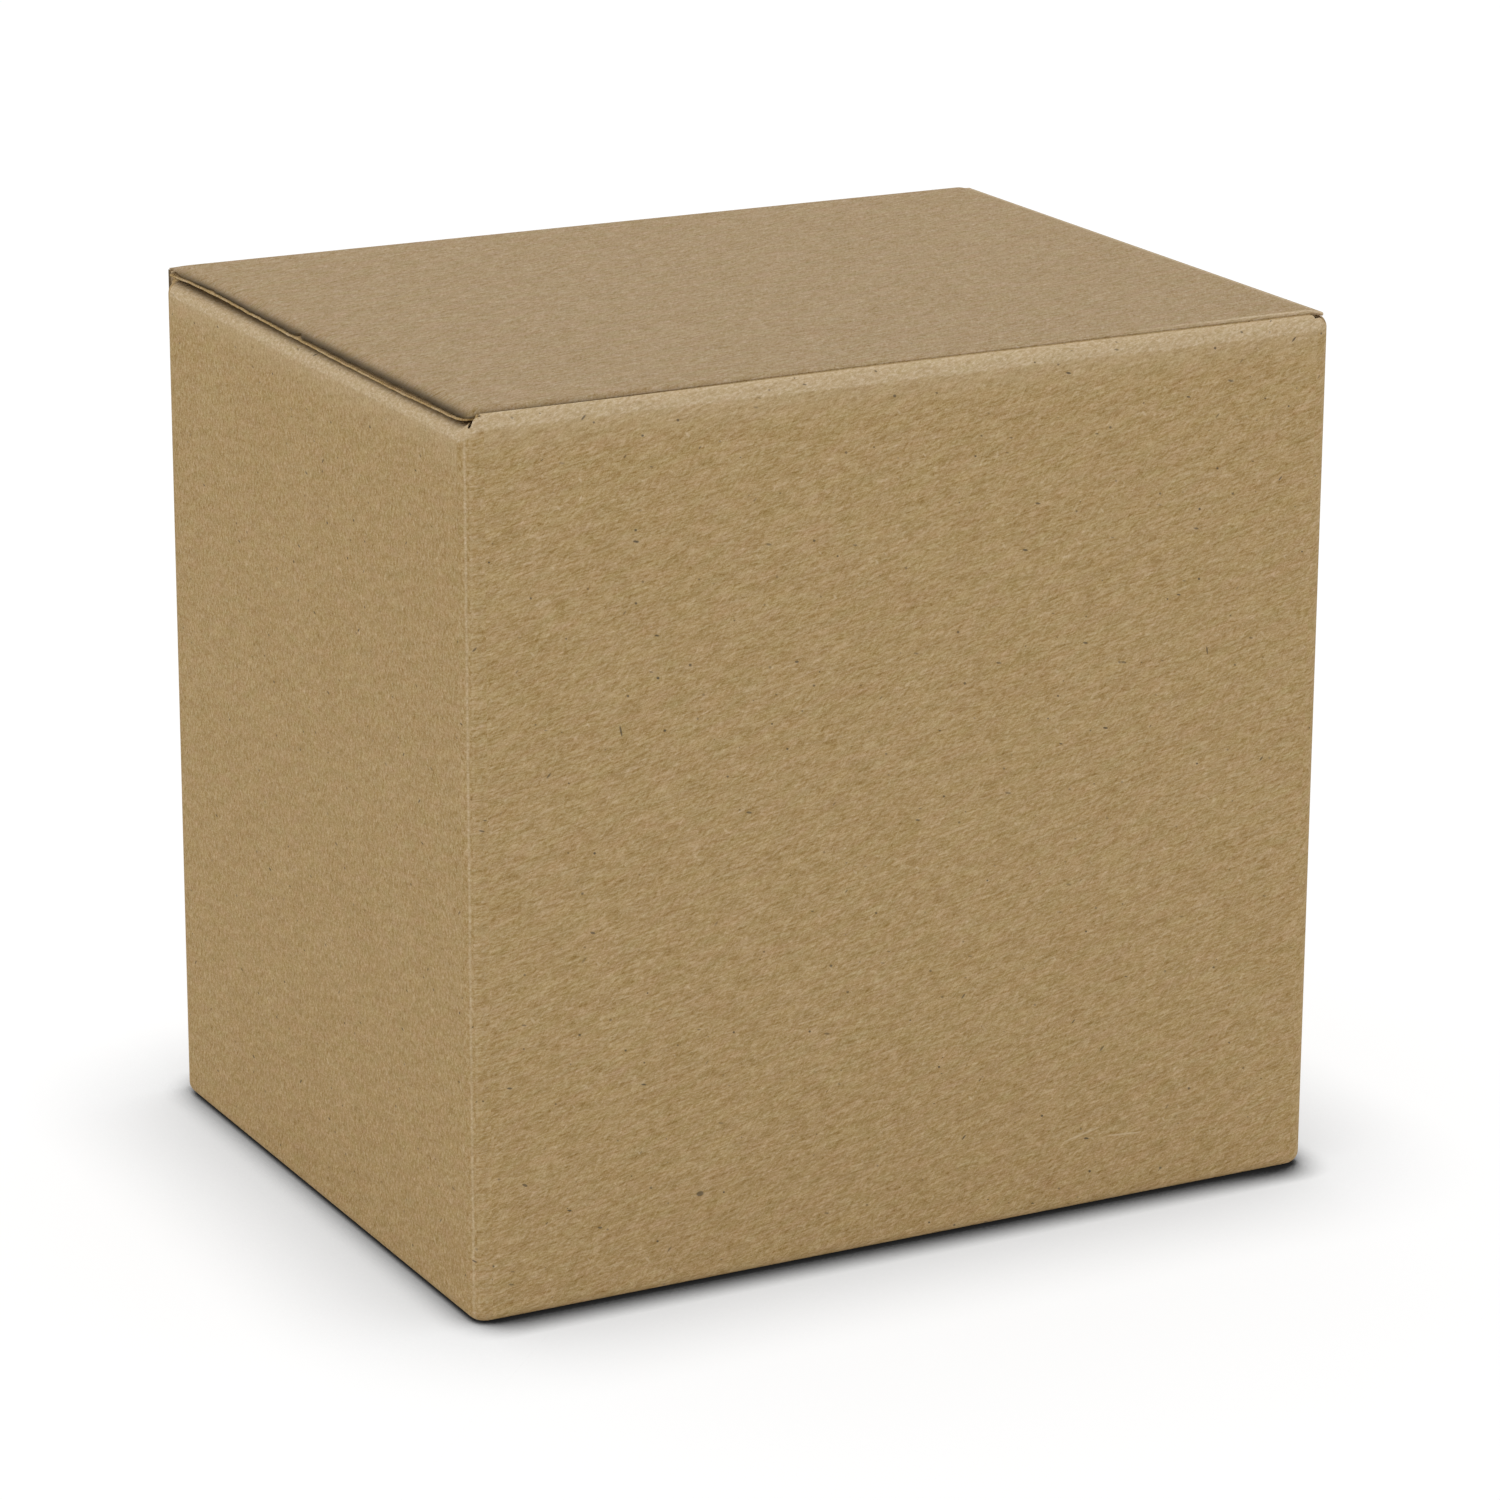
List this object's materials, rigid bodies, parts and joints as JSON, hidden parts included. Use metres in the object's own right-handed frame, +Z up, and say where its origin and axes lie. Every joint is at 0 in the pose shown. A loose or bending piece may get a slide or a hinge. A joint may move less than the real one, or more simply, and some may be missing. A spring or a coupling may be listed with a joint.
{
  "type": "closed cardboard box",
  "caption": "Small kraft carton folded from one sheet of fluted board, with a hinged tuck lid and a snap-lock bottom.",
  "frame": {"origin": "middle of the box's outline on the surface it stands on", "axes": "+X along the front to the right, +Y from the front wall to the back wall, +Z up"},
  "size_m": [0.14, 0.11, 0.133],
  "materials": {
    "kraft_board": "matt unbleached kraft liner with fine fibres and dark specks",
    "kraft_lid": "matt unbleached kraft liner with a fine grain along the box's width"
  },
  "bodies": {
    "carton": {"carton": "kraft_board"},
    "lid": {"lid": "kraft_lid"}
  },
  "joints": [
    {"name": "lid_hinge", "type": "hinge", "parent": "carton", "child": "lid", "pos_m": [0, -0.05285, 0.133], "axis": [1, 0, 0], "range_deg": [0, 180]}
  ]
}
